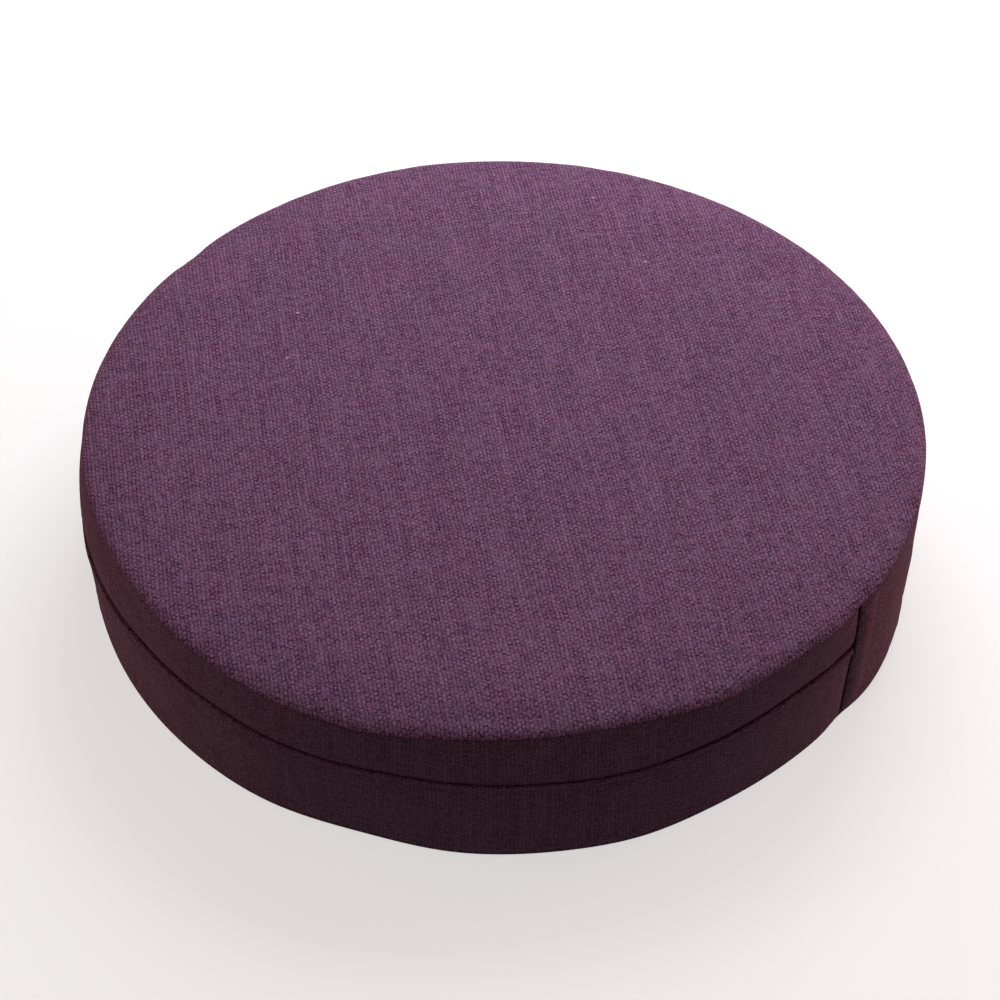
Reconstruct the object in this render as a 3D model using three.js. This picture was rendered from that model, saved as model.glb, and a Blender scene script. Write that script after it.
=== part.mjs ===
import * as THREE from 'three';

// Sizes of the filled cushion, in millimetres
const SEAM_RADIUS = 200;
const SEAM_HEIGHT = 78;
const CROWN_RISE = 3.8;
const CROWN_FLATNESS = 14;
const CROWN_UNEVEN = 0.5;
const CROWN_TURN = 40;
const BASE_SEAM_RADIUS = 200.6;
const BASE_SEAM_HEIGHT = 2.8;
const BASE_FLAT_RADIUS = 188;
const BASE_SHIFT = 1;
const BULGE_HEIGHT = 0.6;
const BULGE_POWER = Math.log(0.5) / Math.log(BULGE_HEIGHT);

// Where the base panel bends between its flat part and its seam: share of the width there, and of the height
const BASE_BEND = 0.7;
const BASE_BEND_RISE = 0.28;

// Thickness of the cloth, and the space between two pieces that meet
const CLOTH = 2.2;
const GAP = 0.3;

// A sewn edge turns inwards and leaves a channel along the seam
const CHANNEL_DEPTH = 1.1;
const CHANNEL_MIDDLE = 1.3;
const CHANNEL_WIDTH = 3.6;

// The closing line, where the lower strip of the boxing ends in a flap of doubled cloth
const CLOSING_PINCH = 1.3;
const CLOSING_SPREAD = 7;
const FLAP_RISE = 0.9;
const FLAP_EDGE_SHARE = 0.3;
const FLAP_ROUNDING = 1.2;
const FLAP_STITCH = 6.5;
const STITCH_WIDTH = 1.8;
const STITCH_DEPTH = 0.4;

// The two upright seams of the boxing, as azimuths from the front in degrees. They sway, stand a little
// open and draw the side in, and the plain strip puffs out beside them
const FRONT_SEAM = 53;
const BACK_SEAM = FRONT_SEAM - 180;
const SEAM_SWAY = 0.35;
const SEAM_SLIT = 0.8;
const SEAM_PINCH = 1.4;
const PINCH_SPREAD = 11;
const PLAIN_PUFF = 1.2;
const PUFF_DISTANCE = 7;
const PUFF_SPREAD = 5;

// Steps round the cushion, in degrees
const COLUMN_STEP = 5;

// How the top seam and the side below it run, by azimuth: the seam's rise above its mean height, how far
// it stands out, how far the side bulges past the straight line between the top and base seams, and how far
// the base seam stands out
const EDGE = [
  { azimuth: -165, rise: 0.3, out: 0.3, bulge: 3.0, base: 0.0 },
  { azimuth: -125, rise: -0.3, out: -0.3, bulge: 3.0, base: 0.0 },
  { azimuth: -85, rise: 0.0, out: -0.3, bulge: 3.8, base: 0.0 },
  { azimuth: -70, rise: 0.2, out: -1.4, bulge: 3.4, base: 0.0 },
  { azimuth: -55, rise: 0.5, out: -1.2, bulge: 3.0, base: 0.0 },
  { azimuth: -45, rise: -0.2, out: 0.4, bulge: 2.8, base: 0.0 },
  { azimuth: -32, rise: -1.2, out: 1.7, bulge: 2.4, base: 0.0 },
  { azimuth: -18, rise: -1.5, out: 1.9, bulge: 2.2, base: -2.2 },
  { azimuth: -5, rise: 0.4, out: -0.4, bulge: 2.2, base: 0.0 },
  { azimuth: 8, rise: 1.1, out: -1.3, bulge: 2.2, base: 0.0 },
  { azimuth: 18, rise: 1.1, out: -1.4, bulge: 2.0, base: 0.0 },
  { azimuth: 29, rise: 0.0, out: 0.0, bulge: 1.8, base: -2.4 },
  { azimuth: 40, rise: 0.5, out: -0.8, bulge: 1.8, base: -3.0 },
  { azimuth: 52, rise: -0.2, out: 0.5, bulge: 1.8, base: -2.0 },
  { azimuth: 62, rise: -0.1, out: 0.4, bulge: 1.5, base: 0.3 },
  { azimuth: 70, rise: 0.0, out: 0.3, bulge: 1.2, base: 0.0 },
  { azimuth: 88, rise: -0.2, out: 0.3, bulge: 0.4, base: -2.2 },
  { azimuth: 110, rise: -0.3, out: 0.3, bulge: 0.4, base: -2.0 },
  { azimuth: 150, rise: 0.3, out: -0.3, bulge: 2.4, base: 0.0 },
];

// How far the closing line runs below the mean height of the top seam, by azimuth
const CLOSING_LINE = [
  { azimuth: -170, drop: 28 },
  { azimuth: -129, drop: 27 },
  { azimuth: -100, drop: 32.5 },
  { azimuth: -72, drop: 36 },
  { azimuth: -62, drop: 31.8 },
  { azimuth: -54, drop: 29 },
  { azimuth: -41, drop: 26.8 },
  { azimuth: -33, drop: 28 },
  { azimuth: -25, drop: 28.6 },
  { azimuth: -12, drop: 27.8 },
  { azimuth: 0, drop: 28.9 },
  { azimuth: 14, drop: 29.6 },
  { azimuth: 22, drop: 28.7 },
  { azimuth: 30, drop: 26.6 },
  { azimuth: 41, drop: 25 },
  { azimuth: 52, drop: 25.6 },
  { azimuth: 90, drop: 27 },
  { azimuth: 150, drop: 28 },
];

// Rings of the top panel as shares of its radius, and of the filled form under it
const PANEL_RINGS = [0.35, 0.6, 0.78, 0.88, 0.94, 0.972, 0.99];
const FORM_RINGS = [0.6, 0.88, 0.94];
const LIP_HEIGHT = 1.2;
const LIP_OUT = 0.2;

// Where the inside of the boxing bends, as shares of the height below and above the closing line, and rows
// of the outside of the strips, as shares of the height between their sewn edges
const LOWER_BENDS = [0.35, 0.7];
const UPPER_BENDS = [0.5];
const PLAIN_ROWS = [0.2, 0.4, 0.6, 0.8];
const UPPER_ROWS = [0.35, 0.7];

const toRadians = THREE.MathUtils.degToRad;
const toDegrees = THREE.MathUtils.radToDeg;
const { clamp, lerp, euclideanModulo } = THREE.MathUtils;

// A smooth curve through one column of a table, closed round the cushion
function curveAround(rows, column) {
  const turns = [-360, 0, 360];
  const shifted = (turn) => rows.map((row) => ({ at: row.azimuth + turn, value: row[column] }));
  const repeated = turns.flatMap(shifted);
  const positions = repeated.map((row) => row.at);
  const values = repeated.map((row) => row.value);
  const curve = new THREE.CubicInterpolant(positions, values, 1, [0]);
  return (azimuth) => curve.evaluate(azimuth)[0];
}

const seamRise = curveAround(EDGE, 'rise');
const seamOut = curveAround(EDGE, 'out');
const sideBulge = curveAround(EDGE, 'bulge');
const baseOut = curveAround(EDGE, 'base');
const closingDrop = curveAround(CLOSING_LINE, 'drop');

function topSeamHeight(azimuth) {
  return SEAM_HEIGHT + seamRise(azimuth);
}

function closingHeight(azimuth) {
  return SEAM_HEIGHT - closingDrop(azimuth);
}

// A soft hump of height 1 at distance 0
function hump(distance, spread) {
  return Math.exp(-((distance / spread) ** 2));
}

// Distance along the seam from one azimuth to another, in millimetres, the short way round
function arcFrom(other, azimuth) {
  const turn = euclideanModulo(azimuth - other + 180, 360) - 180;
  return toRadians(turn) * SEAM_RADIUS;
}

// 1 on the half of the boxing that has the closing line, fading out at its two ends
function closingShare(azimuth) {
  const inside = Math.min(-arcFrom(FRONT_SEAM, azimuth), arcFrom(BACK_SEAM, azimuth));
  return clamp(inside / PINCH_SPREAD, 0, 1);
}

// Outside of the boxing before its edges turn in: it bulges, and every seam draws it in
function sideRadius(azimuth, height) {
  const share = clamp((height - BASE_SEAM_HEIGHT) / (topSeamHeight(azimuth) - BASE_SEAM_HEIGHT), 0, 1);
  const base = BASE_SEAM_RADIUS + baseOut(azimuth);
  const straight = lerp(base, SEAM_RADIUS + seamOut(azimuth), share);
  const bulge = sideBulge(azimuth) * Math.sin(Math.PI * share ** BULGE_POWER);
  const line = hump(height - closingHeight(azimuth), CLOSING_SPREAD);
  const closing = CLOSING_PINCH * closingShare(azimuth) * line;
  const front = arcFrom(FRONT_SEAM, azimuth);
  const back = arcFrom(BACK_SEAM, azimuth);
  const pinch = SEAM_PINCH * (hump(front, PINCH_SPREAD) + hump(back, PINCH_SPREAD));
  return straight + bulge - closing - pinch;
}

function topRadius(azimuth) {
  return sideRadius(azimuth, topSeamHeight(azimuth));
}

function baseRadius(azimuth) {
  return sideRadius(azimuth, BASE_SEAM_HEIGHT);
}

// Top surface: flat over the middle, rolled down to the seam, a little uneven
function crownHeight(azimuth, share) {
  const roll = Math.sqrt(1 - share ** CROWN_FLATNESS);
  const waves = Math.sin(toRadians(2 * azimuth + CROWN_TURN)) + 0.6 * Math.sin(toRadians(3 * azimuth));
  const seam = lerp(SEAM_HEIGHT, topSeamHeight(azimuth), share ** 4);
  return seam + (CROWN_RISE + CROWN_UNEVEN * share * waves) * roll;
}

// How far a sewn edge turns in, by distance from that edge
function channel(distance) {
  return CHANNEL_DEPTH * Math.max(0, 1 - distance / CHANNEL_WIDTH) ** 2;
}

// A point of the cushion. Its lower part sits a little to the left of its top
function place([azimuth, radius, height]) {
  const turn = toRadians(azimuth);
  const shift = BASE_SHIFT * clamp(1 - height / SEAM_HEIGHT, 0, 1);
  return [radius * Math.sin(turn) - shift, -radius * Math.cos(turn), height];
}

function solidFrom(positions, indices) {
  const geometry = new THREE.BufferGeometry();
  geometry.setAttribute('position', new THREE.Float32BufferAttribute(positions.flat(), 3));
  geometry.setIndex(indices);
  geometry.computeVertexNormals();
  return geometry;
}

// Azimuths of the columns of a form that goes all the way round: even steps, and one more on each side of
// the upright seams
function roundColumns() {
  const beside = toDegrees(CHANNEL_WIDTH) / SEAM_RADIUS;
  const azimuths = [FRONT_SEAM - beside, FRONT_SEAM + beside, BACK_SEAM + beside, BACK_SEAM + 360 - beside];
  for (let azimuth = BACK_SEAM; azimuth < BACK_SEAM + 360; azimuth += COLUMN_STEP) {
    azimuths.push(azimuth);
  }
  return azimuths.sort((a, b) => a - b);
}

// A closed form round the upright axis. Its profile of [radius, height] runs from the axis on top, out and
// back to the axis below, and may change with the azimuth
function turnedForm(profileAt) {
  const azimuths = roundColumns();
  const poles = profileAt(0);
  const size = poles.length - 2;
  const positions = [place([0, 0, poles[0][1]])];
  for (const azimuth of azimuths) {
    const rings = profileAt(azimuth).slice(1, -1);
    positions.push(...rings.map(([radius, height]) => place([azimuth, radius, height])));
  }
  const bottom = positions.length;
  positions.push(place([0, 0, poles[poles.length - 1][1]]));
  const indices = [];
  azimuths.forEach((azimuth, column) => {
    const here = 1 + column * size;
    const next = 1 + ((column + 1) % azimuths.length) * size;
    indices.push(0, here, next);
    for (let ring = 0; ring < size - 1; ring += 1) {
      indices.push(here + ring, here + ring + 1, next + ring + 1);
      indices.push(here + ring, next + ring + 1, next + ring);
    }
    indices.push(here + size - 1, bottom, next + size - 1);
  });
  return solidFrom(positions, indices);
}

// A strip bent round the cushion: a closed loop of [azimuth, radius, height] for each column, capped at both
// ends. Each loop runs up the outside and down the inside
function bentStrip(loops) {
  const size = loops[0].length;
  const indices = [];
  for (let column = 0; column < loops.length - 1; column += 1) {
    for (let point = 0; point < size; point += 1) {
      const here = column * size + point;
      const after = column * size + ((point + 1) % size);
      indices.push(here, here + size, after + size);
      indices.push(here, after + size, after);
    }
  }
  const outlineOf = (loop) => loop.map(([, radius, height]) => new THREE.Vector2(radius, height));
  const capOf = (loop) => THREE.ShapeUtils.triangulateShape(outlineOf(loop), []);
  const last = (loops.length - 1) * size;
  capOf(loops[0]).forEach(([a, b, c]) => indices.push(a, b, c));
  capOf(loops[loops.length - 1]).forEach(([a, b, c]) => indices.push(last + a, last + c, last + b));
  return solidFrom(loops.flat().map(place), indices);
}

// Azimuth of an upright seam at a height
function seamAzimuth(seam, height) {
  return seam + SEAM_SWAY * Math.cos((2 * Math.PI * height) / SEAM_HEIGHT);
}

// Columns of a strip from one upright seam to the next, each with its azimuth at a height and its distance
// from the nearer seam. The outer ones follow that seam
function stripColumns(start, end) {
  const distances = [0, CHANNEL_MIDDLE, CHANNEL_WIDTH];
  const columnBeside = (seam, side, distance) => {
    const turn = (side * toDegrees(distance + SEAM_SLIT / 2)) / SEAM_RADIUS;
    return { distance, azimuthAt: (height) => seamAzimuth(seam, height) + turn };
  };
  const beside = (seam, side) => distances.map((distance) => columnBeside(seam, side, distance));
  const middle = [];
  for (let azimuth = start + COLUMN_STEP; azimuth < end; azimuth += COLUMN_STEP) {
    middle.push({ distance: CHANNEL_WIDTH, azimuthAt: () => azimuth });
  }
  return [...beside(start, 1), ...middle, ...beside(end, -1).reverse()];
}

// Heights of a strip's outside, from its lower edge up: three rows beside each edge, and shares of what is
// between
function outsideHeights(bottom, top, shares) {
  const rows = [0, CHANNEL_MIDDLE, CHANNEL_WIDTH];
  const between = shares.map((share) => lerp(bottom + CHANNEL_WIDTH, top - CHANNEL_WIDTH, share));
  return [...rows.map((row) => bottom + row), ...between, ...rows.map((row) => top - row).reverse()];
}

// Heights where the inside of the boxing and the filled form bend, between the base seam and the closing
// line, and between that line and the top seam
function bendsBelow(azimuth) {
  const shoulder = closingHeight(azimuth) - CLOSING_SPREAD;
  return [...LOWER_BENDS.map((share) => lerp(BASE_SEAM_HEIGHT, shoulder, share)), shoulder];
}

function bendsAbove(azimuth) {
  const shoulder = closingHeight(azimuth) + CLOSING_SPREAD;
  return [shoulder, ...UPPER_BENDS.map((share) => lerp(shoulder, topSeamHeight(azimuth), share))];
}

// One column's loop of a boxing strip. reliefAt says how far the outside stands out at a height of a column
function stripLoop(column, outside, inside, reliefAt) {
  const bottom = outside[0];
  const top = outside[outside.length - 1];
  const outer = outside.map((height) => {
    const azimuth = column.azimuthAt(height);
    const relief = reliefAt({ azimuth, height, bottom, top, distance: column.distance });
    return [azimuth, sideRadius(azimuth, height) + relief, height];
  });
  const inner = inside.map((height) => {
    const azimuth = column.azimuthAt(height);
    return [azimuth, sideRadius(azimuth, height) - CLOTH, height];
  });
  return [...outer, ...inner.reverse()];
}

function sewnAllRound({ distance, height, bottom, top }) {
  return -channel(Math.min(distance, height - bottom, top - height));
}

// The plain strip's seam allowances are turned under it, so that it puffs out beside the upright seams
function puffedEnds(at) {
  const front = arcFrom(FRONT_SEAM, at.azimuth) - PUFF_DISTANCE;
  const back = arcFrom(BACK_SEAM, at.azimuth) + PUFF_DISTANCE;
  const level = clamp(Math.min(at.height - at.bottom, at.top - at.height) / PUFF_DISTANCE, 0, 1);
  return sewnAllRound(at) + PLAIN_PUFF * level * (hump(front, PUFF_SPREAD) + hump(back, PUFF_SPREAD));
}

function plainStrip() {
  const loops = stripColumns(FRONT_SEAM, BACK_SEAM + 360).map((column) => {
    const azimuth = column.azimuthAt(SEAM_HEIGHT);
    const bottom = BASE_SEAM_HEIGHT + GAP / 2;
    const top = topSeamHeight(azimuth) - GAP / 2;
    const bends = [...bendsBelow(azimuth), closingHeight(azimuth), ...bendsAbove(azimuth)];
    return stripLoop(column, outsideHeights(bottom, top, PLAIN_ROWS), [bottom, ...bends, top], puffedEnds);
  });
  return bentStrip(loops);
}

function upperStrip() {
  const loops = stripColumns(BACK_SEAM, FRONT_SEAM).map((column) => {
    const azimuth = column.azimuthAt(SEAM_HEIGHT);
    const bottom = closingHeight(azimuth) + GAP / 2;
    const top = topSeamHeight(azimuth) - GAP / 2;
    const inside = [bottom, ...bendsAbove(azimuth), top];
    return stripLoop(column, outsideHeights(bottom, top, UPPER_ROWS), inside, sewnAllRound);
  });
  return bentStrip(loops);
}

// The flap stands proud of the strip, between its stitch line and its folded edge
function flapRelief({ distance, height, bottom, top }) {
  const below = top - height;
  const sewn = -channel(Math.min(distance, height - bottom));
  if (below > FLAP_STITCH + STITCH_WIDTH / 2) {
    return sewn;
  }
  if (below > FLAP_STITCH - STITCH_WIDTH / 2) {
    return sewn - STITCH_DEPTH;
  }
  return sewn + FLAP_RISE * Math.min(1, FLAP_EDGE_SHARE + below / FLAP_ROUNDING);
}

function lowerStrip() {
  const loops = stripColumns(BACK_SEAM, FRONT_SEAM).map((column) => {
    const azimuth = column.azimuthAt(closingHeight(FRONT_SEAM));
    const bottom = BASE_SEAM_HEIGHT + GAP / 2;
    const top = closingHeight(azimuth) - GAP / 2;
    const stitch = top - FLAP_STITCH;
    const plain = [0, CHANNEL_MIDDLE, CHANNEL_WIDTH].map((row) => bottom + row);
    const flap = [stitch - STITCH_WIDTH, stitch, stitch + STITCH_WIDTH, top - FLAP_ROUNDING, top];
    const outside = [...plain, lerp(bottom, stitch, 0.5), ...flap];
    return stripLoop(column, outside, [bottom, ...bendsBelow(azimuth), top], flapRelief);
  });
  return bentStrip(loops);
}

function topPanel() {
  return turnedForm((azimuth) => {
    const radius = topRadius(azimuth);
    const edge = topSeamHeight(azimuth) + GAP / 2;
    const face = PANEL_RINGS.map((share) => [share * radius, crownHeight(azimuth, share)]);
    const inside = FORM_RINGS.map((share) => [share * radius, crownHeight(azimuth, share) - CLOTH]);
    return [
      [0, crownHeight(azimuth, 0)],
      ...face,
      [radius + LIP_OUT, edge + LIP_HEIGHT],
      [radius - CHANNEL_DEPTH, edge],
      [radius - CHANNEL_DEPTH - CLOTH, edge],
      ...inside.reverse(),
      [0, crownHeight(azimuth, 0) - CLOTH],
    ];
  });
}

function basePanel() {
  return turnedForm((azimuth) => {
    const radius = baseRadius(azimuth);
    const edge = BASE_SEAM_HEIGHT - GAP / 2;
    return [
      [0, CLOTH],
      [BASE_FLAT_RADIUS, CLOTH],
      [radius - CHANNEL_DEPTH - CLOTH, edge],
      [radius - CHANNEL_DEPTH, edge],
      [radius, edge - LIP_HEIGHT],
      [lerp(BASE_FLAT_RADIUS, radius, BASE_BEND), edge * BASE_BEND_RISE],
      [BASE_FLAT_RADIUS, 0],
      [0, 0],
    ];
  });
}

// The filled form under the panels, one solid with the crown, the bulge and the drawn-in seams
function filledBody() {
  const inset = CLOTH + GAP;
  return turnedForm((azimuth) => {
    const radius = topRadius(azimuth);
    const top = topSeamHeight(azimuth) - GAP / 2;
    const bottom = BASE_SEAM_HEIGHT + GAP / 2;
    const crown = FORM_RINGS.map((share) => [share * radius, crownHeight(azimuth, share) - inset]);
    const bends = [...bendsBelow(azimuth), closingHeight(azimuth), ...bendsAbove(azimuth)];
    const side = [bottom, ...bends, top].map((height) => [sideRadius(azimuth, height) - inset, height]);
    return [
      [0, crownHeight(azimuth, 0) - inset],
      ...crown,
      ...side.reverse(),
      [BASE_FLAT_RADIUS, inset],
      [0, inset],
    ];
  });
}

// Cloth colours
const TOP_PURPLE = 0x684a64;
const SIDE_PURPLE = 0x5a3c54;
const BASE_PURPLE = 0x543850;

const PIECES = [
  { name: 'filled_body', build: filledBody, color: BASE_PURPLE },
  { name: 'base_panel', build: basePanel, color: BASE_PURPLE },
  { name: 'boxing_lower_strip', build: lowerStrip, color: SIDE_PURPLE },
  { name: 'boxing_upper_strip', build: upperStrip, color: SIDE_PURPLE },
  { name: 'boxing_plain_strip', build: plainStrip, color: SIDE_PURPLE },
  { name: 'top_panel', build: topPanel, color: TOP_PURPLE },
];

const cushion = new THREE.Group();
for (const { name, build, color } of PIECES) {
  const material = new THREE.MeshStandardMaterial({ color, roughness: 0.95, metalness: 0 });
  const piece = new THREE.Mesh(build(), material);
  piece.name = name;
  cushion.add(piece);
}

// The origin is on the surface that the cushion rests on, under the middle of its outline
const middle = new THREE.Box3().setFromObject(cushion).getCenter(new THREE.Vector3());
cushion.position.set(-middle.x, -middle.y, 0);

export default cushion;
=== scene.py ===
"""A round box cushion for meditation, sewn from purple linen-look cloth over a firm filling.

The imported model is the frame. Each piece of the sewn cover is built here again as fine cloth, from the same
sizes as its plain solid, and stands for that solid. Sizes are in metres, and azimuths in degrees round the
cushion from the front, growing towards the right.
"""

import logging
import math
from collections.abc import Sequence
from dataclasses import dataclass, field
from enum import Enum

import bpy
import numpy as np
from mathutils import Matrix, Vector
from mathutils.kdtree import KDTree


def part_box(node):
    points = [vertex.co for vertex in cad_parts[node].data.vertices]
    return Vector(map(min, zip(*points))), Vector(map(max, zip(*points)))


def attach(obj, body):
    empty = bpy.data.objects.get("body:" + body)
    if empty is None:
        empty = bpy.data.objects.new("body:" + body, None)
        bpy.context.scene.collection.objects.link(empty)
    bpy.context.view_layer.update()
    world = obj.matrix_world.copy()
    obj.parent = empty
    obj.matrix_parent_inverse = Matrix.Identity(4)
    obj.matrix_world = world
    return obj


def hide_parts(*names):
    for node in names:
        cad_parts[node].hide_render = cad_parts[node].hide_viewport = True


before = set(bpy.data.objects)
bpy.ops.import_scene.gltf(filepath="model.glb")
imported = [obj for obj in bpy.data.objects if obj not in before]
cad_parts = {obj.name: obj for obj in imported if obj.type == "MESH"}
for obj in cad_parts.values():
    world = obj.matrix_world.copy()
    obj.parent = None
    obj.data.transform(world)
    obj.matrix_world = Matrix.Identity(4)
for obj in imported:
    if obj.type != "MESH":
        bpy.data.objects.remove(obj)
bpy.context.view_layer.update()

LOG = logging.getLogger("cushion")
MM = 0.001

Tree = bpy.types.NodeTree
Socket = bpy.types.NodeSocket
Threads = dict[str, Socket]

# How the top seam and the side below it run. Each row has an azimuth, then in millimetres the seam's rise
# above its mean height, how far it stands out, how far the side bulges, how far the base seam stands out, and
# last over how much cloth the top rolls down to the top seam.
EDGE = (
    (-165, 0.3, 0.3, 3.0, 0.0, 6.0),
    (-125, -0.3, -0.3, 3.0, 0.0, 6.0),
    (-85, 0.0, -0.3, 3.8, 0.0, 6.5),
    (-70, 0.2, -1.4, 3.4, 0.0, 7.0),
    (-55, 0.5, -1.2, 3.0, 0.0, 7.5),
    (-45, -0.2, 0.4, 2.8, 0.0, 7.5),
    (-32, -1.2, 1.7, 2.4, 0.0, 7.5),
    (-18, -1.5, 1.9, 2.2, -2.2, 7.5),
    (-5, 0.4, -0.4, 2.2, 0.0, 8.0),
    (8, 1.1, -1.3, 2.2, 0.0, 8.0),
    (18, 1.1, -1.4, 2.0, 0.0, 7.5),
    (29, 0.0, 0.0, 1.8, -2.4, 6.5),
    (40, 0.5, -0.8, 1.8, -3.0, 5.5),
    (52, -0.2, 0.5, 1.8, -2.0, 5.0),
    (62, -0.1, 0.4, 1.5, 0.3, 5.0),
    (70, 0.0, 0.3, 1.2, 0.0, 5.0),
    (88, -0.2, 0.3, 0.4, -2.2, 5.5),
    (110, -0.3, 0.3, 0.4, -2.0, 6.0),
    (150, 0.3, -0.3, 2.4, 0.0, 6.0),
)

# How the closing line runs. Each row has an azimuth, then in millimetres the line's drop below the mean
# height of the top seam, and the width of the dark slit between the upper strip and the flap.
CLOSING_LINE = (
    (-170, 28.0, 0.7),
    (-129, 27.0, 0.6),
    (-100, 32.5, 0.6),
    (-72, 36.0, 0.6),
    (-62, 31.8, 0.6),
    (-54, 29.0, 0.6),
    (-41, 26.8, 0.6),
    (-33, 28.0, 0.5),
    (-25, 28.6, 0.5),
    (-12, 27.8, 0.4),
    (0, 28.9, 0.4),
    (14, 29.6, 0.4),
    (22, 28.7, 0.6),
    (30, 26.6, 0.8),
    (41, 25.0, 0.9),
    (52, 25.6, 0.9),
    (90, 27.0, 0.8),
    (150, 28.0, 0.7),
)


class Lay(Enum):
    """How a piece of cloth lies on the cushion, which its weave follows."""

    FLAT = "flat"
    ROUND = "round"


class Strip(Enum):
    """The three strips of the boxing, each with its piece name and the solid that it stands for."""

    UPPER = ("boxing_upper_cloth", "boxing_upper_strip")
    LOWER = ("boxing_lower_cloth", "boxing_lower_strip")
    PLAIN = ("boxing_plain_cloth", "boxing_plain_strip")


class RoundCurve:
    """A smooth curve through one column of a table, closed round the cushion."""

    def __init__(self, rows: Sequence[Sequence[float]], column: int) -> None:
        """Repeats the column a turn before and a turn after.

        Args:
            rows: table rows, each starting with its azimuth.
            column: place of the value in a row, in millimetres there.
        """
        table = np.array(rows, float)
        turns = np.repeat((-360.0, 0.0, 360.0), len(table))
        self.at = np.tile(table[:, 0], 3) + turns
        self.values = np.tile(table[:, column] * MM, 3)

    def __call__(self, azimuth: np.ndarray) -> np.ndarray:
        """Follows the curve. At each row its slope is the mean of the slopes to the rows on both sides.

        Args:
            azimuth: places round the cushion, in degrees.

        Returns:
            The curve's value at each place, in metres.
        """
        at, values = self.at, self.values
        after = np.clip(np.searchsorted(at, azimuth, side="right"), 2, len(at) - 2)
        before = after - 1
        step = at[after] - at[before]
        part = (azimuth - at[before]) / step
        slopes = np.diff(values) / np.diff(at)
        leaving = (slopes[before - 1] + slopes[before]) / 2 * step
        arriving = (slopes[before] + slopes[after]) / 2 * step
        square, cube = part**2, part**3
        rounded = leaving * (cube - 2 * square + part) + arriving * (cube - square)
        return values[before] + (values[after] - values[before]) * (3 * square - 2 * cube) + rounded


def hump(distance: np.ndarray, spread: float) -> np.ndarray:
    """A soft hump of height 1 at distance 0."""
    return np.exp(-((distance / spread) ** 2))


def ease(share: np.ndarray) -> np.ndarray:
    """Turns a share from 0 to 1 into a soft step."""
    held = np.clip(share, 0, 1)
    return held * held * (3 - 2 * held)


def lerp(start: np.ndarray, end: np.ndarray, share: np.ndarray) -> np.ndarray:
    """The value a share of the way from start to end."""
    return start + (end - start) * share


def all_round(step: float) -> np.ndarray:
    """Azimuths all round the cushion, a step of so many degrees apart."""
    return np.arange(0.0, 360.0, step)


@dataclass(frozen=True)
class Gathers:
    """The small uneven gathers that a sewing machine leaves along a seam, as waves of mixed lengths."""

    seed: int
    shortest: float = 7 * MM
    longest: float = 26 * MM
    waves: int = 9
    weakest: float = 0.5
    gain: float = 1.8

    def __call__(self, azimuth: np.ndarray, radius: float) -> np.ndarray:
        """Height of the gathers at these azimuths, from about -1 to 1.

        Args:
            azimuth: places round the seam, in degrees.
            radius: radius of the seam.

        Returns:
            The height at each place.
        """
        draw = np.random.default_rng(self.seed)
        girth = 2 * math.pi * radius
        counts = np.round(girth / draw.uniform(self.shortest, self.longest, self.waves))
        starts = draw.uniform(0, 2 * math.pi, self.waves)
        strengths = draw.uniform(self.weakest, 1.0, self.waves)
        turn = np.radians(azimuth)
        total = sum(a * np.sin(n * turn + s) for a, n, s in zip(strengths, counts, starts))
        return total / strengths.sum() * self.gain


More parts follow.
